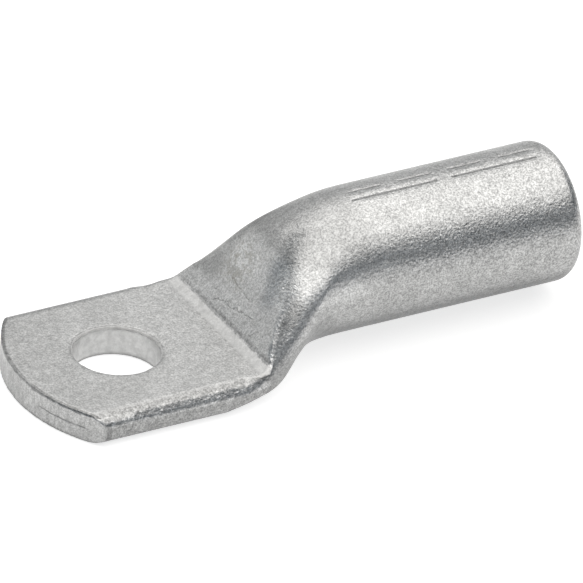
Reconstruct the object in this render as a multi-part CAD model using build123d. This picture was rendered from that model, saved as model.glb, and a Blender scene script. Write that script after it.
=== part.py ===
from build123d import *
import os
from dataclasses import dataclass
from math import cos, pi, radians, sin, sqrt, tan

# A tubular cable lug: one piece of copper tube, left round where the cable goes in and pressed flat
# where the bolt goes through. Millimetres. The origin is the centre of the stud hole at the palm's
# underside, +X runs along the barrel to its mouth and +Z is up.

# Barrel
barrel_diameter = 21.0
bore_diameter = 15.5
bore_depth = 35.0
mouth_distance = 72.0
mouth_rounding = 2.1
bore_edge_break = 0.4
barrel_lift = 1.0

# Palm. Its sides bulge, so the width is that of the widest line, at the side height.
palm_width = 32.4
palm_thickness = 4.75
side_height = 2.3
tip_distance = 16.2
tip_radius = 24.0
tip_offset = -0.6
stud_hole_diameter = 13.0
hole_rim_break = 0.25

# Metal that the flat faces of the press squeezed off the tube above and below the palm
squeeze_above = 0.2
squeeze_below = 0.39

# Edge of the upper press tool: a rounded nose, then a flank that slopes up the front of the neck
crease_distance = 17.6
crease_rise = 0.85
crease_run = 1.8
crease_step = 0.2
flank_angle = 56.0

# Neck, where the flat tube opens out to the round barrel. Each stretch is measured from the crease.
neck_reach = (-7.6, 21.6)
narrowing_reach = (-6.4, 14.7)
side_lift_reach = (0.4, 10.9)
crown_reach = (-3.0, 21.5)
floor_reach = (-7.6, 16.4)
crown_blend = 2.0
crown_softness = 0.8
rounding_power = 4
neck_section_count = 13

# Fullness of the pressed section, as the reach of each curve towards its corner: 1 is a square
# corner and round_fullness is a true round.
round_fullness = 4 / 3 * (sqrt(2) - 1)
upper_side_fullness = 0.78
crown_fullness = 0.9
lower_side_fullness = 0.91
floor_fullness = 0.99

# Closed end of the cavity: behind the bore it narrows, then the two walls of the tube come together
wedge_reach = 4.5
bore_step = 0.1
cavity_section_count = 8

# Crimp marks: grooves along the top of the barrel that show where the pressing dies go
mark_width = 0.35
mark_depth = 0.2
mark_margin = 3.9
wide_mark_offset = -1.2
wide_mark_length = 14.3
wide_mark_gap = 2.3
wide_mark_count = 2
narrow_mark_offset = 0.9
narrow_mark_length = 5.5
narrow_mark_gap = 2.8
narrow_mark_count = 4

# Seam of the two pressed walls, seen on the sheared end of the palm
seam_width = 0.14
seam_depth = 0.25
seam_margin = 2.6

# Sizes worked out from the ones above
barrel_radius = barrel_diameter / 2
bore_radius = bore_diameter / 2
wall = barrel_radius - bore_radius
axis_height = barrel_lift + barrel_radius
neck_start = crease_distance + neck_reach[0]
neck_end = crease_distance + neck_reach[1]
bore_end = mouth_distance - bore_depth
overcut = 5.0
high = axis_height + barrel_diameter


@dataclass
class Section:
    """Closed outline of the tube, outside or inside, across one place along X."""

    place: float
    half_width: float
    side: float
    top: float
    bottom: float
    upper: tuple = (round_fullness, round_fullness)
    lower: tuple = (round_fullness, round_fullness)


def share(place, reach):
    """Part of the way that a place lies along a stretch measured from the crease."""
    start, end = reach
    return min(max((place - crease_distance - start) / (end - start), 0.0), 1.0)


def eased(place, reach):
    """Share with a soft start and a soft end."""
    part = share(place, reach)
    return part * part * (3 - 2 * part)


def between(low, high, part):
    """Value a given part of the way from low to high."""
    return low + (high - low) * part


def crown_opening(place):
    """Part of the way that the crown has risen, with the start of the rise blended in."""
    start, end = crown_reach
    past = place - crease_distance - start
    blended = (past + sqrt(past ** 2 + crown_blend ** 2)) / 2
    part = min(blended / (end - start), 1.0)
    return sin(pi / 2 * part ** crown_softness)


def tube_section(place):
    """Outer section of the tube: flat at the palm, opening along the neck, round at the barrel."""
    opening = crown_opening(place)
    rounding = 1 - (1 - share(place, neck_reach)) ** rounding_power
    return Section(
        place=place,
        half_width=between(palm_width / 2, barrel_radius, eased(place, narrowing_reach)),
        side=between(side_height, axis_height, eased(place, side_lift_reach)),
        top=between(palm_thickness + squeeze_above, axis_height + barrel_radius, opening),
        bottom=between(-squeeze_below, barrel_lift, eased(place, floor_reach)),
        upper=(between(upper_side_fullness, round_fullness, rounding),
               between(crown_fullness, round_fullness, rounding)),
        lower=(between(lower_side_fullness, round_fullness, rounding),
               between(floor_fullness, round_fullness, rounding)),
    )


def quarter(section, direction, height, fullness):
    """Corner points of the curve from the widest line on one side to the crown or the floor."""
    side_fullness, middle_fullness = fullness
    half_width = direction * section.half_width
    rise = height - section.side
    return [
        (section.place, half_width, section.side),
        (section.place, half_width, section.side + side_fullness * rise),
        (section.place, half_width * middle_fullness, height),
        (section.place, 0, height),
    ]


def section_wire(section):
    """Outline of four quarters, head to tail round the tube from the widest line at +Y."""
    quarters = [
        quarter(section, 1, section.top, section.upper),
        quarter(section, -1, section.top, section.upper)[::-1],
        quarter(section, -1, section.bottom, section.lower),
        quarter(section, 1, section.bottom, section.lower)[::-1],
    ]
    return Wire([Bezier(*points) for points in quarters])


def round_wire(place, radius):
    """Outline of the round tube: four quarters of a true circle, in the order of section_wire."""
    diagonal = radius * sqrt(0.5)
    corners = [(radius, 0), (0, radius), (-radius, 0), (0, -radius), (radius, 0)]
    middles = [(diagonal, diagonal), (-diagonal, diagonal), (-diagonal, -diagonal), (diagonal, -diagonal)]
    arcs = []
    for start, middle, end in zip(corners, middles, corners[1:]):
        points = [(place, across, axis_height + up) for across, up in (start, middle, end)]
        arcs.append(ThreePointArc(*points))
    return Wire(arcs)


def places_along(start, end, count):
    """Evenly spaced places from start to end."""
    return [between(start, end, step / (count - 1)) for step in range(count)]


def tube_skin():
    """Solid outside of the whole tube, before the press tools leave their marks on it."""
    places = places_along(neck_start, neck_end, neck_section_count)
    wires = [section_wire(tube_section(place)) for place in places[:-1]]
    wires.append(round_wire(neck_end, barrel_radius))
    palm = extrude(Face(wires[0]), amount=neck_start + tip_distance + overcut, dir=(-1, 0, 0))
    neck = Solid.make_loft(wires)
    barrel = extrude(Face(wires[-1]), amount=mouth_distance - neck_end, dir=(1, 0, 0))
    return palm + neck + rounded_mouth(barrel)


def rounded_mouth(barrel):
    """Barrel with the outer edge of its mouth rounded over."""
    mouth_face = barrel.faces().sort_by(Axis.X)[-1]
    return fillet(mouth_face.edges(), mouth_rounding)


def flank_height(place):
    """Height of the upper tool's sloping flank at a place behind the crease."""
    foot = palm_thickness + crease_rise + crease_step
    return foot + (place - crease_distance) * tan(radians(flank_angle))


def upper_tool():
    """Everything above the palm: a flat, a rounded nose up to the crease and the sloping flank."""
    front = -tip_distance - overcut
    top_place = crease_distance + high / tan(radians(flank_angle))
    outline = Polyline(
        (crease_distance, 0, palm_thickness + crease_rise),
        (crease_distance, 0, flank_height(crease_distance)),
        (top_place, 0, flank_height(top_place)),
        (front, 0, flank_height(top_place)),
        (front, 0, palm_thickness),
        (crease_distance - crease_run, 0, palm_thickness),
    )
    nose = TangentArc(outline @ 1, outline @ 0, tangent=outline % 1)
    return extrude(make_face([outline, nose]), amount=palm_width, both=True)


def lower_tool():
    """Everything below the flat underside of the palm."""
    front = -tip_distance - overcut
    block = Box(mouth_distance - front, 2 * palm_width, high, align=(Align.MIN, Align.CENTER, Align.MAX))
    return Pos(front, 0, 0) * block


def tip_disc(radius, bottom, top):
    """Disc concentric with the curved end of the palm."""
    centre = Pos(tip_radius - tip_distance, tip_offset, bottom)
    return centre * Cylinder(radius, top - bottom, align=(Align.CENTER, Align.CENTER, Align.MIN))


def tip_shear():
    """Scrap that the shear cuts off the end of the palm along a shallow arc."""
    block = Box(tip_distance + overcut, 2 * palm_width, high, align=(Align.MAX, Align.CENTER, Align.CENTER))
    return block - tip_disc(tip_radius, -high, high)


def stud_hole():
    """Punched hole for the bolt, with its upper rim broken."""
    hole = Cylinder(stud_hole_diameter / 2, high, align=(Align.CENTER, Align.CENTER, Align.CENTER))
    rim = Cone(stud_hole_diameter / 2, stud_hole_diameter / 2 + 2 * hole_rim_break, 2 * hole_rim_break)
    return hole + Pos(0, 0, palm_thickness) * rim


def cavity_section(place):
    """Inner section of the tube, one wall inside the outer one."""
    outer = tube_section(place)
    steepness = between(1 / cos(radians(flank_angle)), 1.0, eased(place, crown_reach))
    top = min(outer.top, flank_height(place)) - wall * steepness
    bottom = outer.bottom + wall
    return Section(place, outer.half_width - wall, (top + bottom) / 2, top, bottom)


def cavity_wedge(front):
    """Front of the cavity, where the pressed upper wall comes down on the lower one."""
    wedge = extrude(Face(section_wire(front)), amount=front.place - crease_distance, dir=(-1, 0, 0))
    upper_wall = flank_height(front.place) - front.top
    return wedge - Pos(0, 0, -upper_wall) * upper_tool()


def cavity():
    """Round bore for the cable, and the space behind it that narrows to nothing."""
    length = bore_depth + overcut
    bore = Cylinder(bore_radius, length, align=(Align.CENTER, Align.CENTER, Align.MIN))
    bore = Pos(bore_end, 0, axis_height) * Rot(0, 90, 0) * bore
    places = places_along(crease_distance + wedge_reach, bore_end + bore_step, cavity_section_count)
    sections = [cavity_section(place) for place in places[:-1]]
    wires = [section_wire(section) for section in sections]
    wires.append(round_wire(places[-1], bore_radius - bore_step))
    narrowing = Solid.make_loft(wires, ruled=True)
    return bore + narrowing + cavity_wedge(sections[0])


def bore_rim():
    """Cone that breaks the inner edge of the mouth."""
    rim = Cone(bore_radius, bore_radius + 2 * bore_edge_break, 2 * bore_edge_break)
    return Pos(mouth_distance, 0, axis_height) * Rot(0, 90, 0) * rim


def mark_row(offset, length, gap, count):
    """Row of crimp marks at one offset from the top line, counted from the mouth."""
    surface = axis_height + sqrt(barrel_radius ** 2 - offset ** 2)
    block = Box(length, mark_width, 2 * mark_depth, align=(Align.MAX, Align.CENTER, Align.CENTER))
    first = mouth_distance - mark_margin
    return [Pos(first - step * (length + gap), offset, surface) * block for step in range(count)]


def crimp_marks():
    """Long marks for wide dies beside short ones for narrow dies."""
    wide = mark_row(wide_mark_offset, wide_mark_length, wide_mark_gap, wide_mark_count)
    narrow = mark_row(narrow_mark_offset, narrow_mark_length, narrow_mark_gap, narrow_mark_count)
    return wide + narrow


def tip_seam():
    """Fine groove where the two pressed walls meet on the sheared end."""
    low = side_height - seam_width / 2
    ring = tip_disc(tip_radius + overcut, low, low + seam_width)
    ring = ring - tip_disc(tip_radius - seam_depth, -high, high)
    reach = palm_width - 2 * seam_margin
    window = Box(tip_distance, reach, high, align=(Align.MAX, Align.CENTER, Align.CENTER))
    return ring & window


def lug_body():
    """The finished lug: the tube pressed, sheared, punched and marked."""
    body = tube_skin() - upper_tool() - lower_tool() - tip_shear()
    body = body - cavity() - bore_rim() - stud_hole()
    body = body - crimp_marks() - tip_seam()
    return body


os.makedirs("parts", exist_ok=True)
export_step(lug_body(), "parts/lug_body.step")
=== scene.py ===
"""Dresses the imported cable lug: tin finish, floor, studio light and camera."""

import logging
import math
from dataclasses import dataclass
from enum import Enum

import bmesh
import bpy
from mathutils import Matrix, Vector


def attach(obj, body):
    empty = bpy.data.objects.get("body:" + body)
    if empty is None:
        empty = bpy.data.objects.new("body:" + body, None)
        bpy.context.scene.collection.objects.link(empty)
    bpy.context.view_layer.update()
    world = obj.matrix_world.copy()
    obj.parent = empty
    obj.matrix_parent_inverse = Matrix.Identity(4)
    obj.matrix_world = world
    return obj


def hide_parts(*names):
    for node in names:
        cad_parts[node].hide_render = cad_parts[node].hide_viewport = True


log = logging.getLogger("cable_lug")

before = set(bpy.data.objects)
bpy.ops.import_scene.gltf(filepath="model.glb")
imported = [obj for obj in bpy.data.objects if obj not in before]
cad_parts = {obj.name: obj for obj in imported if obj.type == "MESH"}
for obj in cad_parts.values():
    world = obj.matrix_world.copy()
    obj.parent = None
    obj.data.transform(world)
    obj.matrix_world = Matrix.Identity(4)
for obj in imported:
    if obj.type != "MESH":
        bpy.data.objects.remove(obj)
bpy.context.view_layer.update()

MM = 0.001
WHITE = (1.0, 1.0, 1.0)
ORIGIN = (0.0, 0.0, 0.0)
UPWARDS = (0.0, 0.0, 1.0)
ALL_AXES = (1.0, 1.0, 1.0)
LEVEL_AXES = (1.0, 1.0, 0.0)
CROSSWISE_AXES = (0.0, 1.0, 1.0)
Colour = tuple[float, float, float]
Place = tuple[float, float, float]
Socket = bpy.types.NodeSocket
Value = Socket | float | tuple[float, ...]


class NodeBoard:
    """Short way to add shader nodes to a tree and join them up."""

    def __init__(self, tree: bpy.types.NodeTree) -> None:
        """Keeps the tree that the nodes go into.

        Args:
            tree: The node tree of a material or a world.
        """
        self.tree = tree

    def add(self, kind: str, settings: dict | None = None, **inputs: Value) -> bpy.types.Node:
        """Adds one node.

        Args:
            kind: The node's type, without the leading ShaderNode.
            settings: Attributes of the node itself.
            **inputs: Values or sockets for its inputs; an underscore stands for a space.

        Returns:
            The new node.
        """
        node = self.tree.nodes.new("ShaderNode" + kind)
        for name, value in (settings or {}).items():
            setattr(node, name, value)
        for name, value in inputs.items():
            self.feed(node.inputs[name.replace("_", " ")], value)
        return node

    def feed(self, socket: Socket, value: Value) -> None:
        """Links a socket into an input, or sets its value.

        Args:
            socket: The input.
            value: An output socket, a number or a colour.
        """
        if isinstance(value, bpy.types.NodeSocket):
            self.tree.links.new(value, socket)
        elif socket.type == "RGBA":
            socket.default_value = (*value, 1.0)
        else:
            socket.default_value = value

    def math(self, operation: str, *values: Value, clamp: bool = False) -> Socket:
        """Adds a Math node.

        Args:
            operation: The name of the operation.
            *values: Up to three values or sockets, in order.
            clamp: Whether the result stays between 0 and 1.

        Returns:
            The output socket.
        """
        node = self.add("Math", {"operation": operation, "use_clamp": clamp})
        for socket, value in zip(node.inputs, values):
            self.feed(socket, value)
        return node.outputs[0]

    def product(self, *values: Value) -> Value:
        """Multiplies masks or numbers together."""
        return self.chain("MULTIPLY", values)

    def total(self, *values: Value) -> Value:
        """Adds heights or numbers together."""
        return self.chain("ADD", values)

    def greatest(self, *values: Value) -> Value:
        """Gives the greatest of some masks."""
        return self.chain("MAXIMUM", values)

    def chain(self, operation: str, values: tuple[Value, ...]) -> Value:
        """Applies one operation along a row of values.

        Args:
            operation: The name of the Math operation.
            values: Sockets or numbers.

        Returns:
            The output socket.
        """
        result = values[0]
        for value in values[1:]:
            result = self.math(operation, result, value)
        return result

    def opposite(self, mask: Value) -> Socket:
        """Gives 1 where a mask is 0, and 0 where it is 1."""
        return self.math("SUBTRACT", 1.0, mask)

    def ramp(self, value: Value, low: float, high: float, start: float = 0.0, end: float = 1.0) -> Socket:
        """Maps a value smoothly between two results.

        Args:
            value: The value or socket to map.
            low: Where the change starts.
            high: Where the change ends.
            start: Result at and below the start.
            end: Result at and above the end.

        Returns:
            The output socket.
        """
        node = self.add("MapRange", {"interpolation_type": "SMOOTHSTEP"}, Value=value, From_Min=low,
                        From_Max=high, To_Min=start, To_Max=end)
        return node.outputs["Result"]

    def tint(self, mask: Value, share: float, label: str = "") -> Socket:
        """Gives 1 where a mask is 0, and the share where it is 1.

        Args:
            mask: The mask.
            share: The share.
            label: What the tint is for.

        Returns:
            The output socket.
        """
        result = self.ramp(mask, 0.0, 1.0, 1.0, share)
        result.node.label = label
        return result

    def inside(self, value: Value, centre: float, half: float, soft: float) -> Socket:
        """Gives 1 near a value and 0 away from it.

        Args:
            value: The socket to test.
            centre: Middle of the band.
            half: Half the band's full width.
            soft: Width of the fade on either side.

        Returns:
            The output socket.
        """
        away = self.math("ABSOLUTE", self.math("SUBTRACT", value, centre))
        return self.ramp(away, half, half + soft, 1.0, 0.0)

    def partly(self, amount: Value, value: Value) -> Socket:
        """Gives a number in the measure of an amount, and 1 where the amount is 0."""
        return self.math("MULTIPLY_ADD", self.math("SUBTRACT", value, 1.0), amount, 1.0)

    def mix(self, amount: Value, first: Value, second: Value) -> Socket:
        """Mixes two colours.

        Args:
            amount: Share of the second colour.
            first: First colour or socket.
            second: Second colour or socket.

        Returns:
            The output socket.
        """
        node = self.add("Mix", {"data_type": "RGBA"}, Factor=amount)
        colours = [socket for socket in node.inputs if socket.type == "RGBA"]
        self.feed(colours[0], first)
        self.feed(colours[1], second)
        return next(socket for socket in node.outputs if socket.type == "RGBA")

    def vector_node(self, operation: str, values: tuple[Value, ...]) -> bpy.types.Node:
        """Adds a Vector Math node.

        Args:
            operation: The name of the operation.
            values: Values or sockets for its inputs, in order.

        Returns:
            The new node.
        """
        node = self.add("VectorMath", {"operation": operation})
        for socket, value in zip((item for item in node.inputs if item.enabled), values):
            self.feed(socket, value)
        return node

    def vector(self, operation: str, *values: Value) -> Socket:
        """Gives the vector that an operation makes of some vectors."""
        return self.vector_node(operation, values).outputs["Vector"]

    def measure(self, operation: str, *values: Value) -> Socket:
        """Gives the number that an operation makes of some vectors, such as a length."""
        return self.vector_node(operation, values).outputs["Value"]

    def from_point(self, place: Value, point: Place, axes: Place = ALL_AXES) -> Socket:
        """Gives the distance from a point.

        Args:
            place: The place socket.
            point: The point.
            axes: Share of each axis that counts.

        Returns:
            The output socket.
        """
        offset = self.vector("SUBTRACT", place, point)
        return self.measure("LENGTH", self.vector("MULTIPLY", offset, axes))

    def from_line(self, place: Value, start: Place, end: Place) -> Socket:
        """Gives the distance from a straight line between two places.

        Args:
            place: The place socket.
            start: One end of the line.
            end: The other end.

        Returns:
            The output socket.
        """
        run = Vector(end) - Vector(start)
        offset = self.vector("SUBTRACT", place, start)
        along = self.measure("DOT_PRODUCT", offset, tuple(run / run.length_squared))
        share = self.math("ADD", along, 0.0, clamp=True)
        nearest = self.vector("SCALE", tuple(run), share)
        return self.measure("LENGTH", self.vector("SUBTRACT", offset, nearest))

    def moved(self, place: Value, amount: Value) -> Socket:
        """Moves a place by the same amount along every axis."""
        shift = self.add("CombineXYZ", X=amount, Y=amount, Z=amount)
        return self.vector("ADD", place, shift.outputs["Vector"])

    def leaned(self, normal: Value, facing: Place, amount: Value) -> Socket:
        """Leans a normal towards a direction of the object.

        Args:
            normal: The normal before.
            facing: The direction.
            amount: How far it leans, from 0 to 1.

        Returns:
            The output socket.
        """
        turned = self.add("VectorTransform", {"vector_type": "NORMAL", "convert_from": "OBJECT",
                                              "convert_to": "WORLD"}, Vector=facing)
        lean = self.vector("SUBTRACT", turned.outputs["Vector"], normal)
        return self.vector("ADD", normal, self.vector("SCALE", lean, amount))


def new_material(name: str) -> tuple[bpy.types.Material, NodeBoard]:
    """Makes an empty node material.

    Args:
        name: The material's name.

    Returns:
        The material and the board of its tree.
    """
    material = bpy.data.materials.new(name)
    material.use_nodes = True
    material.node_tree.nodes.clear()
    return material, NodeBoard(material.node_tree)


def put_in_scene(name: str, data: bpy.types.ID) -> bpy.types.Object:
    """Makes an object and links it into the scene.

    Args:
        name: The object's name.
        data: Its mesh, light or camera.

    Returns:
        The object.
    """
    item = bpy.data.objects.new(name, data)
    bpy.context.scene.collection.objects.link(item)
    return item


@dataclass(frozen=True)
class Span:
    """Stretch of an axis with a fade on either side, in millimetres."""

    centre: float
    half: float
    soft: float

    def mask(self, board: NodeBoard, value: Value) -> Socket:
        """Gives 1 within the stretch."""
        return board.inside(value, self.centre, self.half, self.soft)


@dataclass(frozen=True)
class Rise:
    """Mask that goes from 0 to 1 between two places on an axis, in millimetres."""

    low: float
    high: float

    def mask(self, board: NodeBoard, value: Value) -> Socket:
        """Gives 1 past the upper place."""
        return board.ramp(value, self.low, self.high)


@dataclass(frozen=True)
class Fall:
    """Mask that goes from 1 to 0 between two places on an axis, in millimetres."""

    low: float
    high: float

    def mask(self, board: NodeBoard, value: Value) -> Socket:
        """Gives 1 before the lower place."""
        return board.ramp(value, self.low, self.high, 1.0, 0.0)


@dataclass(frozen=True)
class LugShape:
    """Sizes of the lug that its finish follows, in millimetres and degrees."""

    axis_height: float = 11.5
    mouth: float = 72.0
    bore_radius: float = 7.75
    bore_end: float = 37.0
    palm_thickness: float = 4.75
    seam_height: float = 2.3
    hole_radius: float = 6.5
    tip_radius: float = 24.0
    tip_centre: Place = (7.8, -0.6, 0.0)
    crease: float = 17.6
    flank_foot: float = 5.8
    flank_angle: float = 56.0

    @property
    def flank_rise(self) -> float:
        """Height that the flank gains over a millimetre along the lug."""
        return math.tan(math.radians(self.flank_angle))


SHAPE = LugShape()


class Axis(Enum):
    """Directions of the lug: along the barrel, across it and up."""

    ALONG = "X"
    ACROSS = "Y"
    UP = "Z"


class Area(Enum):
    """Areas of the lug that take a tone of their own."""

    WHOLE = "whole lug"
    PALM = "pressed top of the palm"
    BODY = "palm without the tip's face and the hole"
    RING = "palm without the tip's face"
    SIDES = "rolled sides of the palm"
    TIP = "sheared face of the tip"
    HOLE = "punched wall of the hole"
    RIM = "rim of the hole"
    FLANK = "pressed flank"
    BARREL = "barrel's side towards the camera"
    BORE = "inside of the bore"
    SHELL = "everything but the bore"


@dataclass(frozen=True)
class AreaLimits:
    """Where the areas of the lug begin and end."""

    palm_top: Rise = Rise(SHAPE.palm_thickness - 0.16, SHAPE.palm_thickness - 0.05)
    palm_length: Fall = Fall(SHAPE.crease - 0.2, SHAPE.crease)
    tip_half: Fall = Fall(-8.0, -7.0)
    tip_face: Rise = Rise(SHAPE.tip_radius - 0.3, SHAPE.tip_radius - 0.15)
    hole_wall: Fall = Fall(SHAPE.hole_radius + 0.1, SHAPE.hole_radius + 0.35)
    rim_ring: Span = Span(SHAPE.hole_radius + 0.2, 0.25, 0.06)
    rim_top: Rise = Rise(SHAPE.palm_thickness - 0.42, SHAPE.palm_thickness - 0.36)
    flank_plane: Span = Span(0.0, 0.35, 0.5)
    flank_length: Rise = Rise(SHAPE.crease, SHAPE.crease + 0.3)
    near_half: Fall = Fall(-2.0, 0.0)
    barrel_length: Rise = Rise(30.0, 36.0)
    bore_space: Fall = Fall(SHAPE.bore_radius + 0.25, SHAPE.bore_radius + 0.75)
    bore_length: Rise = Rise(SHAPE.bore_end - 3.0, SHAPE.bore_end - 1.0)
    flank_calm: float = 0.45


class LugSurface:
    """Places and areas on the lug, as sockets that its finish reads."""

    def __init__(self, board: NodeBoard) -> None:
        """Adds the nodes for the places and the areas.

        Args:
            board: The board of the material.
        """
        self.board = board
        self.limits = AreaLimits()
        self.place = board.vector("SCALE", board.add("TexCoord").outputs["Object"], 1 / MM)
        split = board.add("SeparateXYZ", Vector=self.place)
        self.along = {axis: split.outputs[axis.value] for axis in Axis}
        self.x, self.y, self.z = self.along.values()
        self.from_tip = board.from_point(self.place, SHAPE.tip_centre, LEVEL_AXES)
        self.tip_half = self.limits.tip_half.mask(board, self.x)
        self.before_crease = self.limits.palm_length.mask(board, self.x)
        self.areas = self.barrel_areas() | self.palm_areas()
        # How much of the rolled grain is pressed or cut away
        pressed = board.greatest(self.areas[Area.PALM],
                                 board.product(self.areas[Area.FLANK], self.limits.flank_calm))
        self.calm = board.greatest(pressed, self.areas[Area.TIP], self.areas[Area.HOLE])
        self.areas[Area.SIDES] = board.product(self.before_crease, board.opposite(self.calm))

    def palm_areas(self) -> dict[Area, Socket]:
        """Tells the palm's pressed, sheared and punched surfaces apart.

        Returns:
            The masks by area.
        """
        board, limits = self.board, self.limits
        from_hole = board.from_point(self.place, ORIGIN, LEVEL_AXES)
        tip = board.product(limits.tip_face.mask(board, self.from_tip), self.tip_half)
        hole = limits.hole_wall.mask(board, from_hole)
        ring = board.product(self.before_crease, board.opposite(tip))
        return {
            Area.TIP: tip,
            Area.HOLE: hole,
            Area.RIM: board.product(limits.rim_ring.mask(board, from_hole), limits.rim_top.mask(board, self.z)),
            Area.RING: ring,
            Area.BODY: board.product(self.before_crease, board.opposite(board.greatest(tip, hole))),
            Area.PALM: board.product(ring, limits.palm_top.mask(board, self.z)),
        }

    def barrel_areas(self) -> dict[Area, Socket]:
        """Tells the flank, the barrel and the bore apart.

        Returns:
            The masks by area.
        """
        board, limits = self.board, self.limits
        rise = SHAPE.flank_rise
        plane = board.math("MULTIPLY_ADD", self.x, rise, SHAPE.flank_foot - SHAPE.crease * rise)
        off_plane = board.math("SUBTRACT", self.z, plane)
        from_axis = board.from_point(self.place, (0.0, 0.0, SHAPE.axis_height), CROSSWISE_AXES)
        bore = board.product(limits.bore_space.mask(board, from_axis), limits.bore_length.mask(board, self.x))
        return {
            Area.FLANK: board.product(limits.flank_plane.mask(board, off_plane),
                                      limits.flank_length.mask(board, self.x)),
            Area.BARREL: board.product(limits.near_half.mask(board, self.y),
                                       limits.barrel_length.mask(board, self.x)),
            Area.BORE: bore,
            Area.SHELL: board.opposite(bore),
        }


@dataclass(frozen=True)
class Grade:
    """Slow change along one axis between two shares, in millimetres."""

    axis: Axis
    between: tuple[float, float]
    shares: tuple[float, float]

    def tone(self, surface: LugSurface) -> Socket:
        """Gives the share at each place."""
        return surface.board.ramp(surface.along[self.axis], *self.between, *self.shares)


@dataclass(frozen=True)
class Shade:
    """Patch of the lug painted lighter or darker than the rest: painted light and shade, as the light leaves
    it.
    """

    name: str
    share: float
    area: Area = Area.WHOLE
    x: Span | Rise | Fall | None = None
    y: Span | Rise | Fall | None = None
    z: Span | Rise | Fall | None = None

    def tone(self, surface: LugSurface) -> Socket:
        """Gives the patch's share, and 1 away from it.

        Args:
            surface: The places and areas of the lug.

        Returns:
            The output socket.
        """
        board = surface.board
        masks = [] if self.area is Area.WHOLE else [surface.areas[self.area]]
        for limit, value in ((self.x, surface.x), (self.y, surface.y), (self.z, surface.z)):
            if limit is not None:
                masks.append(limit.mask(board, value))
        return board.tint(board.product(*masks), self.share, self.name)


@dataclass(frozen=True)
class Stroke:
    """Straight stretch between two places on the surface, in millimetres."""

    start: Place
    end: Place

    def near(self, board: NodeBoard, place: Value, core: float, reach: float, most: float = 1.0) -> Socket:
        """Gives the most out to the core's distance from the stretch, fading to 0 at its reach."""
        return board.ramp(board.from_line(place, self.start, self.end), core, reach, most, 0.0)


@dataclass(frozen=True)
class ShadeStroke(Stroke):
    """Stroke of painted shade where the metal bends away from the light."""

    core: float
    reach: float
    share: float
    name: str

    def tone(self, surface: LugSurface) -> Socket:
        """Gives the stroke's share, and 1 away from it."""
        near = self.near(surface.board, surface.place, self.core, self.reach)
        return surface.board.tint(near, self.share, self.name)


@dataclass(frozen=True)
class Scratch(Stroke):
    """Fine dark line left by handling."""

    width: float = 0.2
    core_share: float = 0.4

    def mask(self, board: NodeBoard, place: Value) -> Socket:
        """Gives 1 on the line."""
        return self.near(board, place, self.width * self.core_share, self.width)


@dataclass(frozen=True)
class Turn(Stroke):
    """Stretch where the pressed surface leans towards a direction."""

    radius: float
    facing: Place
    strength: float

    def lean(self, board: NodeBoard, place: Value, normal: Value) -> Socket:
        """Leans a normal towards the direction near the stretch."""
        return board.leaned(normal, self.facing, self.near(board, place, 0.0, self.radius, self.strength))


@dataclass(frozen=True)
class Dent:
    """Small round dent in the surface, in millimetres."""

    centre: Place
    radius: float
    depth: float
    flat_share: float = 0.35

    def height(self, board: NodeBoard, place: Value) -> Socket:
        """Gives the dent's height, 0 outside it."""
        away = board.from_point(place, self.centre)
        return board.ramp(away, self.radius * self.flat_share, self.radius, -self.depth, 0.0)


@dataclass(frozen=True)
class Fleck:
    """Irregular pattern that runs between two shares. Sizes and places are in millimetres."""

    size: float
    between: tuple[float, float] = (0.0, 1.0)
    shares: tuple[float, float] = (0.0, 1.0)
    layers: float = 2.0
    fineness: float = 0.6
    shift: Place = ORIGIN
    stretch: Place = ALL_AXES

    def noise(self, board: NodeBoard, place: Value) -> Socket:
        """Gives the plain pattern, around 0.5.

        Args:
            board: The board to add the nodes to.
            place: The place in millimetres.

        Returns:
            The output socket.
        """
        moved = board.vector("MULTIPLY", board.vector("ADD", place, self.shift), self.stretch)
        node = board.add("TexNoise", Vector=moved, Scale=1 / self.size, Detail=self.layers,
                         Roughness=self.fineness)
        return node.outputs["Fac"]

    def tone(self, board: NodeBoard, place: Value) -> Socket:
        """Gives the pattern between its two shares."""
        return board.ramp(self.noise(board, place), *self.between, *self.shares)


@dataclass(frozen=True)
class Relief:
    """Fine unevenness of the surface, in millimetres."""

    pattern: Fleck
    depth: float

    def height(self, board: NodeBoard, place: Value) -> Socket:
        """Gives the height of the unevenness."""
        return board.product(self.pattern.noise(board, place), self.depth)


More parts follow.
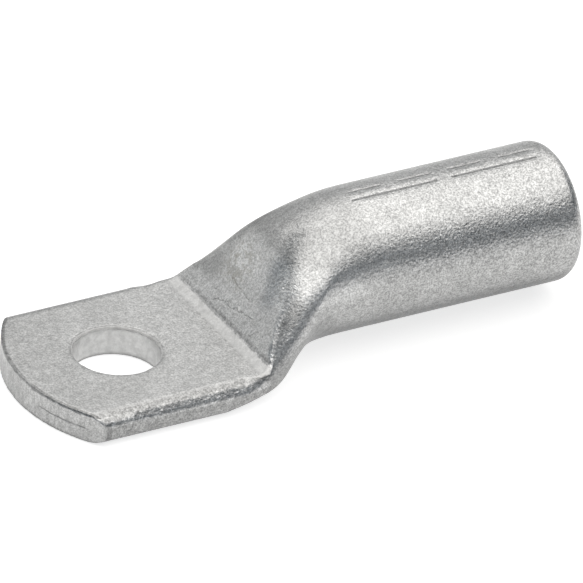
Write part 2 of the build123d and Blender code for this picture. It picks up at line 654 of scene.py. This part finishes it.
@dataclass(frozen=True)
class RolledGrain:
    """Grain of the plated skin, weaker where the metal was pressed, sheared or punched."""

    reliefs: tuple[Relief, ...] = (
        Relief(Fleck(size=0.42, layers=2.5), depth=0.10),
        Relief(Fleck(size=2.6, fineness=0.5), depth=0.03),
    )
    speck: Fleck = Fleck(0.27, (0.36, 0.62), (0.65, 1.21), fineness=0.65, shift=(31.0, 7.0, 13.0))
    cloud: Fleck = Fleck(6.0, (0.3, 0.7), (0.95, 1.05), layers=3.0, shift=(5.0, 50.0, 9.0))
    blotch: Fleck = Fleck(0.95, (0.3, 0.7), (0.90, 1.10), shift=(2.0, 80.0, 4.0))
    mottle: Fleck = Fleck(0.65, (0.36, 0.64), (0.81, 1.16), layers=3.0, fineness=0.7, shift=(44.0, 3.0, 8.0))
    streak: Fleck = Fleck(0.45, (0.3, 0.7), (0.91, 1.07), layers=1.0, fineness=0.5, stretch=(1.0, 1.0, 0.12))
    dark_fleck: Fleck = Fleck(0.36, (0.57, 0.68), shift=(9.0, 21.0, 4.0))
    dark_fleck_tones: tuple[float, float] = (1.04, 0.76)
    dark_fleck_along: Grade = Grade(Axis.ALONG, (28.0, 42.0), (0.5, 1.0))
    dark_fleck_calm: float = 0.4
    along: Grade = Grade(Axis.ALONG, (24.0, 56.0), (0.78, 1.0))
    calm_share: float = 0.86
    hole_share: float = 0.15
    polished_strip: Span = Span(SHAPE.crease - 0.9, 0.5, 0.6)
    polished_share: float = 0.4

    def strength(self, surface: LugSurface) -> Socket:
        """Gives how strong the grain is at each place.

        Args:
            surface: The places and areas of the lug.

        Returns:
            The output socket.
        """
        board = surface.board
        polished = board.product(self.polished_strip.mask(board, surface.x), surface.areas[Area.PALM])
        return board.product(
            board.tint(surface.calm, self.calm_share), board.tint(polished, self.polished_share),
            board.tint(surface.areas[Area.HOLE], self.hole_share), self.along.tone(surface))

    def tone(self, surface: LugSurface, strength: Socket) -> Socket:
        """Gives the light and dark of the grain.

        Args:
            surface: The places and areas of the lug.
            strength: How strong the grain is.

        Returns:
            The output socket.
        """
        board, place = surface.board, surface.place
        dark = board.product(self.dark_fleck.tone(board, place), self.dark_fleck_along.tone(surface),
                             board.tint(surface.calm, self.dark_fleck_calm))
        return board.product(
            board.partly(strength, self.speck.tone(board, place)),
            board.ramp(dark, 0.0, 1.0, *self.dark_fleck_tones),
            self.cloud.tone(board, place),
            self.blotch.tone(board, place),
            board.partly(surface.areas[Area.SIDES], self.mottle.tone(board, place)),
            board.partly(surface.areas[Area.TIP], self.streak.tone(board, place)))

    def height(self, surface: LugSurface, strength: Socket) -> Socket:
        """Gives the height of the grain."""
        heights = [relief.height(surface.board, surface.place) for relief in self.reliefs]
        return surface.board.product(surface.board.total(*heights), strength)


@dataclass(frozen=True)
class MarkRow:
    """Row of crimp marks along the top of the barrel, counted from the mouth, in millimetres."""

    offset: float
    length: float
    gap: float
    count: int
    strength: float
    from_mouth: float = 3.9

    def mask(self, surface: LugSurface, half: float, soft: float) -> Socket:
        """Gives 1 on the marks.

        Args:
            surface: The places and areas of the lug.
            half: Half the width of a mark.
            soft: Width of the fade at its edges.

        Returns:
            The output socket.
        """
        board = surface.board
        pitch = self.length + self.gap
        start = SHAPE.mouth - self.from_mouth
        along = board.math("DIVIDE", board.math("SUBTRACT", start, surface.x), pitch)
        edge = soft / pitch
        middle = self.length / pitch / 2
        on_mark = board.inside(board.math("FRACT", along), middle, middle - edge, edge)
        in_row = board.inside(along, self.count / 2, self.count / 2, edge)
        return board.product(board.inside(surface.y, self.offset, half, soft), on_mark, in_row, self.strength)


@dataclass(frozen=True)
class CrimpMarks:
    """Crimp marks: painted shade in the grooves and painted highlights on their raised borders, in millimetres.
    """

    rows: tuple[MarkRow, ...] = (
        MarkRow(offset=-1.2, length=14.3, gap=2.3, count=2, strength=1.0),
        MarkRow(offset=0.9, length=5.5, gap=2.8, count=4, strength=0.7),
    )
    on_top: Rise = Rise(18.0, 19.0)
    groove: tuple[float, float] = (0.13, 0.12)
    border: tuple[float, float] = (0.34, 0.15)
    # Painted shade in the grooves and painted highlight on their borders
    groove_shade_share: float = 0.50
    border_highlight_share: float = 1.12
    depth: float = 0.12

    def mask(self, surface: LugSurface, width: tuple[float, float]) -> Socket:
        """Gives 1 on all the marks, at half their width and its fade."""
        marks = surface.board.greatest(*[row.mask(surface, *width) for row in self.rows])
        return surface.board.product(marks, self.on_top.mask(surface.board, surface.z))

    def tone(self, surface: LugSurface) -> Socket:
        """Gives the painted shade and highlights of the marks."""
        board = surface.board
        return board.product(board.tint(self.mask(surface, self.border), self.border_highlight_share),
                             board.tint(self.mask(surface, self.groove), self.groove_shade_share))

    def height(self, surface: LugSurface) -> Socket:
        """Gives the depth of the grooves."""
        return surface.board.product(self.mask(surface, self.groove), -self.depth)


@dataclass(frozen=True)
class PressWear:
    """Marks of pressing, shearing and handling, with a line of painted shade along the crease, in millimetres.
    """

    waver: Fleck = Fleck(1.6, (0.3, 0.6), (0.1, 0.6))
    waver_width: float = 1.2
    crease_line: Span = Span(SHAPE.crease + 0.15, 0.08, 0.14)
    crease_height: Span = Span(SHAPE.flank_foot + 0.1, 0.5, 0.3)
    crease_waver: float = 0.12
    burr_line: Span = Span(SHAPE.palm_thickness - 0.06, 0.26, 0.16)
    burr_reach: Rise = Rise(SHAPE.tip_radius - 0.65, SHAPE.tip_radius - 0.4)
    burr_waver: float = 0.6
    burr_breaks: Fleck = Fleck(2.4, (0.35, 0.6), (0.55, 1.0), layers=3.0)
    seam_line: Span = Span(SHAPE.seam_height, 0.07, 0.08)
    seam_width: Span = Span(-9.6, 3.6, 0.8)
    seam_waver: float = 0.3
    scratches: tuple[Scratch, ...] = (
        Scratch((18.6, 1.0, 7.3), (19.4, -5.5, 8.5)),
        Scratch((18.2, 4.5, 6.7), (18.9, 0.5, 7.7)),
        Scratch((20.6, 3.5, 10.2), (20.2, -2.5, 9.6)),
        Scratch((18.1, -6.5, 6.5), (18.9, -8.0, 7.7)),
    )
    scratch_strength: float = 0.68
    pits_in_mm: float = 0.9
    pit_edge: Fall = Fall(0.10, 0.22)
    pit_chance: Fleck = Fleck(2.2, (0.50, 0.62))
    pit_palm_share: float = 0.35
    stain_height: Span = Span(12.0, 1.6, 2.2)
    stain_width: Span = Span(3.5, 2.0, 2.5)
    stain_pattern: Fleck = Fleck(0.9, (0.44, 0.64), layers=3.0, fineness=0.7)
    stain_strength: float = 0.5

    def lines(self, surface: LugSurface) -> Socket:
        """Gives 1 on the crease's line of painted shade, the burr, the seam and the scratches.

        Args:
            surface: The places and areas of the lug.

        Returns:
            The output socket.
        """
        board = surface.board
        waver = board.math("SUBTRACT", self.waver.noise(board, surface.place), 0.5)
        shift = board.product(waver, self.waver_width)
        bent = board.moved(surface.place, shift)
        scratches = [board.product(scratch.mask(board, bent), self.scratch_strength)
                     for scratch in self.scratches]
        return board.greatest(self.crease(surface, shift), self.burr(surface, shift),
                              self.seam(surface, shift), *scratches)

    def crease(self, surface: LugSurface, shift: Socket) -> Socket:
        """Draws a fine line of painted shade at the small step where the edge of the press tool bit in.

        Args:
            surface: The places and areas of the lug.
            shift: How far the lines stray.

        Returns:
            The output socket.
        """
        board = surface.board
        bite = board.total(surface.x, board.product(shift, self.crease_waver))
        return board.product(self.crease_line.mask(board, bite), self.crease_height.mask(board, surface.z),
                             self.waver.tone(board, surface.place))

    def burr(self, surface: LugSurface, shift: Socket) -> Socket:
        """Draws the burr that the shear left along the upper edge of the tip.

        Args:
            surface: The places and areas of the lug.
            shift: How far the lines stray.

        Returns:
            The output socket.
        """
        board = surface.board
        ragged = board.total(surface.z, board.product(shift, self.burr_waver))
        return board.product(self.burr_reach.mask(board, surface.from_tip), surface.tip_half,
                             self.burr_line.mask(board, ragged), self.burr_breaks.tone(board, surface.place))

    def seam(self, surface: LugSurface, shift: Socket) -> Socket:
        """Draws the seam of the tube's two walls on the sheared tip.

        Args:
            surface: The places and areas of the lug.
            shift: How far the lines stray.

        Returns:
            The output socket.
        """
        board = surface.board
        ragged = board.total(surface.z, board.product(shift, self.seam_waver))
        return board.product(surface.areas[Area.TIP], self.seam_line.mask(board, ragged),
                             self.seam_width.mask(board, surface.y))

    def pits(self, surface: LugSurface) -> Socket:
        """Gives 1 in the small pits of the pressed surfaces.

        Args:
            surface: The places and areas of the lug.

        Returns:
            The output socket.
        """
        board = surface.board
        spots = board.add("TexVoronoi", Vector=surface.place, Scale=self.pits_in_mm, Randomness=1.0)
        pressed = board.greatest(surface.areas[Area.FLANK],
                                 board.product(surface.areas[Area.PALM], self.pit_palm_share))
        return board.product(self.pit_edge.mask(board, spots.outputs["Distance"]),
                             self.pit_chance.tone(board, surface.place), pressed)

    def stain(self, surface: LugSurface) -> Socket:
        """Gives the share of the brownish stain on the flank."""
        board = surface.board
        return board.product(surface.areas[Area.FLANK], self.stain_height.mask(board, surface.z),
                             self.stain_width.mask(board, surface.y),
                             self.stain_pattern.tone(board, surface.place), self.stain_strength)


@dataclass(frozen=True)
class PressedForm:
    """Lean of the surface where the pressed metal rolls over, and small dents, in millimetres."""

    turns: tuple[Turn, ...] = (
        Turn((21.4, -5.8, 11.8), (23.6, -4.2, 14.6), radius=4.1, facing=(-0.665, -0.467, 0.583), strength=0.72),
        Turn((24.3, -4.3, 15.4), (27.8, -2.0, 18.7), radius=3.4, facing=(-0.70, -0.42, 0.57), strength=0.56),
        Turn((19.0, -13.0, 7.2), (21.4, -10.9, 10.6), radius=2.0, facing=(-0.30, -0.84, 0.44), strength=0.80),
        Turn((-5.0, -15.7, 4.15), (15.0, -15.7, 4.15), radius=1.0, facing=(0.0, -0.90, 0.44), strength=0.75),
        Turn((17.2, -14.0, 5.1), (17.2, 14.0, 5.1), radius=1.1, facing=(0.0, 0.0, 1.0), strength=0.6),
        Turn((23.5, 7.8, 13.5), (28.5, 5.0, 18.5), radius=3.6, facing=(-0.72, 0.12, 0.68), strength=0.8),
    )
    dents: tuple[Dent, ...] = (
        Dent((18.9, -1.2, 7.8), radius=0.8, depth=0.07),
        Dent((20.4, 6.0, 9.9), radius=0.7, depth=0.05),
        Dent((19.7, -7.2, 8.9), radius=0.6, depth=0.05),
    )
    drift: Fleck = Fleck(0.8, layers=3.0, fineness=0.7, shift=(60.0, 0.0, 20.0))
    drift_width: float = 1.5

    def normal(self, surface: LugSurface) -> Socket:
        """Gives the surface's direction before its fine grain.

        Args:
            surface: The places and areas of the lug.

        Returns:
            The output socket.
        """
        board = surface.board
        drift = board.math("SUBTRACT", self.drift.noise(board, surface.place), 0.5)
        ragged = board.moved(surface.place, board.product(drift, self.drift_width))
        normal = board.add("NewGeometry").outputs["Normal"]
        for turn in self.turns:
            normal = turn.lean(board, ragged, normal)
        return board.vector("NORMALIZE", board.leaned(normal, UPWARDS, surface.areas[Area.RIM]))

    def height(self, surface: LugSurface) -> Socket:
        """Gives the depth of the dents."""
        board = surface.board
        return board.total(*[dent.height(board, surface.place) for dent in self.dents])


@dataclass(frozen=True)
class TinFinish:
    """Matt tin plating on the pressed tube. Depths are in millimetres."""

    colour: Colour = (0.48, 0.48, 0.475)
    stain: Colour = (0.30, 0.285, 0.24)
    roughness: float = 0.34
    calm_roughness: float = 0.40
    grain: RolledGrain = RolledGrain()
    marks: CrimpMarks = CrimpMarks()
    wear: PressWear = PressWear()
    form: PressedForm = PressedForm()
    # Darkens the lines: painted shade along the crease, and the burr, the seam and the scratches
    line_and_shade_share: float = 0.62
    line_depth: float = 0.05
    pit_share: float = 0.78
    pit_depth: float = 0.05
    # Painted light and shade: each patch is made lighter or darker for how the light and its reflections fall
    # there, such as painted shade under the barrel and painted light inside the bore.
    shades: tuple[Shade, ...] = (
        Shade("sides of the palm", 0.82, Area.SIDES),
        Shade("top of the palm", 0.96, Area.PALM),
        Shade("face of the tip", 1.12, Area.TIP),
        Shade("wall of the hole", 1.26, Area.HOLE),
        Shade("rim of the hole", 0.90, Area.RIM),
        Shade("pale belt round the palm", 1.35, Area.BODY, z=Span(3.4, 0.3, 0.35)),
        Shade("upper edge of the palm", 0.80, Area.RING, z=Span(SHAPE.palm_thickness - 0.22, 0.14, 0.1)),
        Shade("flank", 1.20, Area.FLANK),
        Shade("upper part of the flank", 0.94, Area.FLANK, z=Rise(11.5, 15.5)),
        Shade("far end of the flank", 0.72, x=Span(23.5, 4.5, 3.0), y=Rise(5.0, 8.0), z=Rise(7.0, 9.0)),
        Shade("ridge above the flank", 0.92, x=Span(27.2, 1.4, 1.6), y=Span(-1.5, 3.0, 2.0),
              z=Span(17.8, 1.2, 1.2)),
        Shade("top of the neck", 0.87, x=Span(30.0, 4.0, 6.0), z=Rise(14.0, 16.5)),
        Shade("side of the neck", 1.16, x=Span(28.0, 5.0, 5.0), z=Span(13.8, 1.8, 1.2)),
        Shade("top of the barrel", 0.93, x=Rise(24.0, 26.0), z=Rise(14.0, 17.0)),
        Shade("upper side of the barrel", 0.93, Area.BARREL, z=Span(18.4, 0.5, 0.7)),
        Shade("middle of the barrel by the neck", 1.09, Area.BARREL, x=Span(40.0, 4.0, 5.0),
              z=Span(15.6, 0.8, 0.9)),
        Shade("lower side of the barrel", 0.965, Area.BARREL, z=Span(7.5, 2.0, 3.0)),
        Shade("underside of the barrel", 0.55, Area.SHELL, x=Rise(24.0, 30.0), z=Fall(3.5, 8.4)),
        Shade("inside of the bore", 1.45, Area.BORE),
    )
    # Painted shade along the tip's corner, the ridge, the crease's end and the side of the bend.
    shade_strokes: tuple[ShadeStroke, ...] = (
        ShadeStroke((-10.0, -15.9, 4.2), (-9.9, -16.1, 1.2), core=0.25, reach=0.95, share=0.74,
               name="corner of the tip"),
        ShadeStroke((19.2, -12.4, 7.8), (21.1, -10.9, 10.3), core=0.2, reach=0.9, share=0.80,
               name="foot of the ridge"),
        ShadeStroke((22.0, -11.1, 10.3), (23.8, -10.3, 12.2), core=0.3, reach=1.8, share=0.62,
               name="side of the ridge"),
        ShadeStroke((15.5, -15.3, 4.6), (18.0, -15.0, 5.2), core=0.3, reach=1.6, share=0.91,
               name="end of the crease"),
        ShadeStroke((18.6, -14.4, 3.0), (28.8, -9.7, 7.6), core=1.2, reach=3.0, share=0.79,
               name="side of the bend"),
    )
    # Painted shade that darkens towards the bottom, and painted light that grows along the palm from the tip.
    grades: tuple[Grade, ...] = (
        Grade(Axis.UP, (0.2, 0.7), (0.72, 1.0)),
        Grade(Axis.UP, (1.0, 5.0), (0.92, 1.0)),
        Grade(Axis.ALONG, (-14.0, 8.0), (0.96, 1.03)),
    )

    def material(self) -> bpy.types.Material:
        """Builds the tin material.

        Returns:
            The material.
        """
        material, board = new_material("matt_tin")
        surface = LugSurface(board)
        strength = self.grain.strength(surface)
        lines, pits = self.wear.lines(surface), self.wear.pits(surface)
        # The tone holds the grain, the marks and the wear, together with the painted light and shade.
        tone = board.product(
            self.grain.tone(surface, strength), self.marks.tone(surface), self.painted_light_and_shade(surface),
            board.tint(lines, self.line_and_shade_share), board.tint(pits, self.pit_share))
        height = board.total(
            self.grain.height(surface, strength), self.marks.height(surface), self.form.height(surface),
            board.product(lines, -self.line_depth), board.product(pits, -self.pit_depth))
        plain = board.vector("SCALE", self.colour, tone)
        bump = board.add("Bump", Height=height, Distance=MM, Strength=1.0, Normal=self.form.normal(surface))
        shader = board.add(
            "BsdfPrincipled", Base_Color=board.mix(self.wear.stain(surface), plain, self.stain), Metallic=1.0,
            Roughness=board.ramp(surface.calm, 0.0, 1.0, self.roughness, self.calm_roughness),
            Normal=bump.outputs["Normal"])
        board.add("OutputMaterial", Surface=shader.outputs[0])
        return material

    def painted_light_and_shade(self, surface: LugSurface) -> Socket:
        """Gives the painted light and shade of all the lighter and darker areas."""
        tones = [item.tone(surface) for item in (*self.shades, *self.shade_strokes, *self.grades)]
        return surface.board.product(*tones)


@dataclass
class Lug:
    """The lug itself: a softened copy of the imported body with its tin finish."""

    finish: TinFinish = TinFinish()
    merge_distance: float = 0.0005 * MM
    mesh_depth: int = 8
    mesh_scale: float = 0.9
    mesh_sharpness: float = 1.0
    smooth_share: float = 0.5
    smoothing: int = 3
    ridge_smoothing: int = 200
    ridge_bottom: float = 8.0
    ridge_fade: float = 4.0
    ridge_width: float = 4.5
    ridge_soft: float = 2.0
    ridge_overlap: float = 0.5

    def build(self) -> bpy.types.Object:
        """Makes the softened body and dresses it.

        Returns:
            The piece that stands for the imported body.
        """
        body = self.copy_of_body()
        self.apply(body, "REMESH", mode="SHARP", octree_depth=self.mesh_depth, scale=self.mesh_scale,
                   sharpness=self.mesh_sharpness, use_remove_disconnected=False, use_smooth_shade=True)
        self.apply(body, "SMOOTH", factor=self.smooth_share, iterations=self.smoothing)
        self.soften_ridge(body)
        body.data.materials.clear()
        body.data.materials.append(self.finish.material())
        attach(body, "root")
        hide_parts("lug_body")
        return body

    def copy_of_body(self) -> bpy.types.Object:
        """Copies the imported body's mesh, with its loose triangles joined up.

        Returns:
            The new object.
        """
        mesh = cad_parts["lug_body"].data.copy()
        mesh.name = "lug_metal"
        shape = bmesh.new()
        shape.from_mesh(mesh)
        bmesh.ops.remove_doubles(shape, verts=shape.verts[:], dist=self.merge_distance)
        shape.to_mesh(mesh)
        shape.free()
        return put_in_scene("lug_metal", mesh)

    def soften_ridge(self, body: bpy.types.Object) -> None:
        """Rounds the upper part of the ridge where the pressed flank meets the round neck.

        Args:
            body: The remeshed body.
        """
        ridge = body.vertex_groups.new(name="ridge")
        for vertex in body.data.vertices:
            share = self.ridge_share(vertex.co / MM)
            if share > 0.0:
                ridge.add([vertex.index], share, "REPLACE")
        self.apply(body, "SMOOTH", factor=self.smooth_share, iterations=self.ridge_smoothing,
                   vertex_group="ridge")
        body.vertex_groups.remove(body.vertex_groups["ridge"])

    def ridge_share(self, place: Vector) -> float:
        """Gives how much a place takes part in the softening of the ridge.

        Args:
            place: The place in millimetres.

        Returns:
            A share from 0 to 1.
        """
        rise = SHAPE.flank_rise
        under_flank = (SHAPE.flank_foot + (place.x - SHAPE.crease) * rise - place.z) / math.hypot(1.0, rise)
        if under_flank <= -self.ridge_overlap:
            return 0.0
        high = min(max((place.z - self.ridge_bottom) / self.ridge_fade, 0.0), 1.0)
        near = min(max((self.ridge_width - under_flank) / self.ridge_soft, 0.0), 1.0)
        return high * near

    def apply(self, piece: bpy.types.Object, kind: str, **settings: str | int | float | bool) -> None:
        """Adds a modifier to a piece and applies it.

        Args:
            piece: The piece to change.
            kind: The modifier's type.
            **settings: The modifier's settings.
        """
        modifier = piece.modifiers.new(kind.lower(), kind)
        for name, value in settings.items():
            setattr(modifier, name, value)
        with bpy.context.temp_override(object=piece, active_object=piece, selected_objects=[piece]):
            bpy.ops.object.modifier_apply(modifier=modifier.name)


@dataclass
class Studio:
    """Pale floor, dark cards and a soft light overhead. Lengths in metres, angles in degrees."""

    round_sides: int = 96
    floor_radius: float = 3.0
    floor_gap: float = 0.0001
    floor_colour: Colour = (0.58, 0.58, 0.58)
    floor_glow: float = 0.54
    floor_seen_glow: float = 0.72
    fill: float = 0.6
    box_height: float = 0.70
    box_size: tuple[float, float] = (1.7, 1.35)
    box_centre: tuple[float, float] = (0.42, -0.06)
    box_radiance: float = 0.88
    box_colour: Colour = (1.0, 0.98, 0.945)
    card_radius: float = 0.6
    card_span: tuple[float, float] = (3.0, 30.0)
    flag_rise: float = 26.0
    flag_heading: float = 188.0
    flag_narrowness: int = 3
    card_colour: Colour = (0.080, 0.118, 0.160)
    back_colour: Colour = (0.92, 0.93, 0.94)
    back_share: float = 0.5

    def build(self) -> list[bpy.types.Object]:
        """Makes the floor, the cards, the light and the world.

        Returns:
            The objects of the studio.
        """
        pieces = [self.floor(), self.cards(), self.softbox()]
        self.world()
        return pieces

    def floor(self) -> bpy.types.Object:
        """Makes the pale floor under the lug.

        Returns:
            The floor.
        """
        mesh = bpy.data.meshes.new("floor")
        shape = bmesh.new()
        bmesh.ops.create_circle(shape, cap_ends=True, segments=self.round_sides, radius=self.floor_radius)
        shape.to_mesh(mesh)
        shape.free()
        floor = put_in_scene("floor", mesh)
        floor.location.z = -self.floor_gap
        mesh.materials.append(self.floor_material())
        return floor

    def floor_material(self) -> bpy.types.Material:
        """Builds the floor's material: white where it is seen, and clear from below.

        Returns:
            The material.
        """
        material, board = new_material("pale_floor")
        diffuse = board.add("BsdfDiffuse", Color=self.floor_colour)
        camera, mirrored = self.seen_rays(board)
        strength = board.greatest(board.product(camera, self.floor_seen_glow),
                                  board.product(mirrored, self.floor_glow))
        glow = board.add("Emission", Color=WHITE, Strength=strength)
        both = board.add("AddShader")
        board.feed(both.inputs[0], diffuse.outputs[0])
        board.feed(both.inputs[1], glow.outputs[0])
        sides = board.add("MixShader", Fac=board.add("NewGeometry").outputs["Backfacing"])
        board.feed(sides.inputs[1], both.outputs[0])
        board.feed(sides.inputs[2], board.add("BsdfTransparent").outputs[0])
        board.add("OutputMaterial", Surface=sides.outputs[0])
        return material

    def seen_rays(self, board: NodeBoard) -> tuple[Socket, Socket]:
        """Gives the rays that show the background.

        Args:
            board: The board to add the nodes to.

        Returns:
            Two sockets: 1 for camera rays, and 1 for mirror and glass rays.
        """
        path = board.add("LightPath")
        mirrored = board.greatest(path.outputs["Is Glossy Ray"], path.outputs["Is Transmission Ray"])
        return path.outputs["Is Camera Ray"], mirrored

    def cards(self) -> bpy.types.Object:
        """Makes the ring of cards that the lug's metal reflects, out of the camera's sight.

        Returns:
            The ring.
        """
        mesh = bpy.data.meshes.new("studio_cards")
        shape = bmesh.new()
        ring = bmesh.ops.create_circle(shape, segments=self.round_sides, radius=self.card_radius)
        bottom, top = self.card_span
        wall = bmesh.ops.extrude_edge_only(shape, edges=shape.edges[:])
        raised = [item for item in wall["geom"] if isinstance(item, bmesh.types.BMVert)]
        for vertex in ring["verts"]:
            vertex.co.z = self.card_radius * math.tan(math.radians(bottom))
        for vertex in raised:
            heading = math.atan2(vertex.co.y, vertex.co.x) - math.radians(self.flag_heading)
            flag = self.flag_rise * max(math.cos(heading), 0.0) ** self.flag_narrowness
            vertex.co.z = self.card_radius * math.tan(math.radians(top + flag))
        shape.to_mesh(mesh)
        shape.free()
        cards = put_in_scene("studio_cards", mesh)
        mesh.materials.append(self.card_material())
        cards.visible_camera = False
        return cards

    def card_material(self) -> bpy.types.Material:
        """Builds the cards' material: dark in front and pale behind the lug.

        Returns:
            The material.
        """
        material, board = new_material("studio_card")
        across = board.add("SeparateXYZ", Vector=board.add("TexCoord").outputs["Object"])
        back = board.ramp(across.outputs["Y"], 0.0, self.back_share * self.card_radius)
        diffuse = board.add("BsdfDiffuse", Color=board.mix(back, self.card_colour, self.back_colour))
        board.add("OutputMaterial", Surface=diffuse.outputs[0])
        return material

    def softbox(self) -> bpy.types.Object:
        """Hangs the large soft light over the lug.

        Returns:
            The light.
        """
        lamp = bpy.data.lights.new("softbox", "AREA")
        lamp.shape = "RECTANGLE"
        lamp.size, lamp.size_y = self.box_size
        lamp.color = self.box_colour
        # An area light's radiance is its power over its area and pi
        lamp.energy = math.pi * self.box_size[0] * self.box_size[1] * self.box_radiance
        light = put_in_scene("softbox", lamp)
        light.location = (*self.box_centre, self.box_height)
        return light

    def world(self) -> None:
        """Sets a plain world, white where it is seen and softer where it lights."""
        world = bpy.data.worlds.new("studio")
        world.use_nodes = True
        world.node_tree.nodes.clear()
        board = NodeBoard(world.node_tree)
        strength = board.ramp(board.greatest(*self.seen_rays(board)), 0.0, 1.0, self.fill, 1.0)
        sky = board.add("Background", Color=WHITE, Strength=strength)
        board.add("OutputWorld", Surface=sky.outputs[0])
        bpy.context.scene.world = world


@dataclass
class PhotoCamera:
    """Camera at the photograph's place: lengths in metres, angles in degrees."""

    heading: float = 59.124
    elevation: float = 31.266
    roll: float = 3.843
    distance: float = 3.2
    target: Place = (0.027, 0.0, 0.006)
    slide: tuple[float, float] = (0.001648, 0.001844)
    photo_width_pixels: float = 583.0
    pixels_per_metre: float = 6873.0
    sensor_width_mm: float = 36.0
    nearest: float = 0.05
    farthest: float = 30.0

    def build(self) -> bpy.types.Object:
        """Makes the scene's camera.

        Returns:
            The camera object.
        """
        right, up, ahead = self.directions()
        data = bpy.data.cameras.new("photo_camera")
        data.sensor_width = self.sensor_width_mm
        data.lens = data.sensor_width * self.pixels_per_metre * self.distance / self.photo_width_pixels
        data.clip_start, data.clip_end = self.nearest, self.farthest
        camera = put_in_scene("photo_camera", data)
        aim = Vector(self.target) + self.slide[0] * right + self.slide[1] * up
        camera.matrix_world = (Matrix.Translation(aim - self.distance * ahead)
                               @ Matrix((right, up, -ahead)).transposed().to_4x4())
        bpy.context.scene.camera = camera
        return camera

    def directions(self) -> tuple[Vector, Vector, Vector]:
        """Works out where the camera looks and how it is rolled.

        Returns:
            The directions to its right, above it and ahead of it.
        """
        heading, elevation, roll = (math.radians(angle) for angle in (self.heading, self.elevation, self.roll))
        ahead = Vector((math.cos(heading) * math.cos(elevation),
                        math.sin(heading) * math.cos(elevation), -math.sin(elevation)))
        level = Vector((math.sin(heading), -math.cos(heading), 0.0))
        upright = level.cross(ahead)
        return (math.cos(roll) * level + math.sin(roll) * upright,
                math.cos(roll) * upright - math.sin(roll) * level, ahead)


def main() -> None:
    """Builds the camera, the studio and the lug."""
    logging.basicConfig(level=logging.INFO)
    bpy.context.scene.view_settings.view_transform = "Standard"
    for piece in (PhotoCamera().build(), *Studio().build(), Lug().build()):
        log.info("%s built", piece.name)


if __name__ == "__main__":
    main()
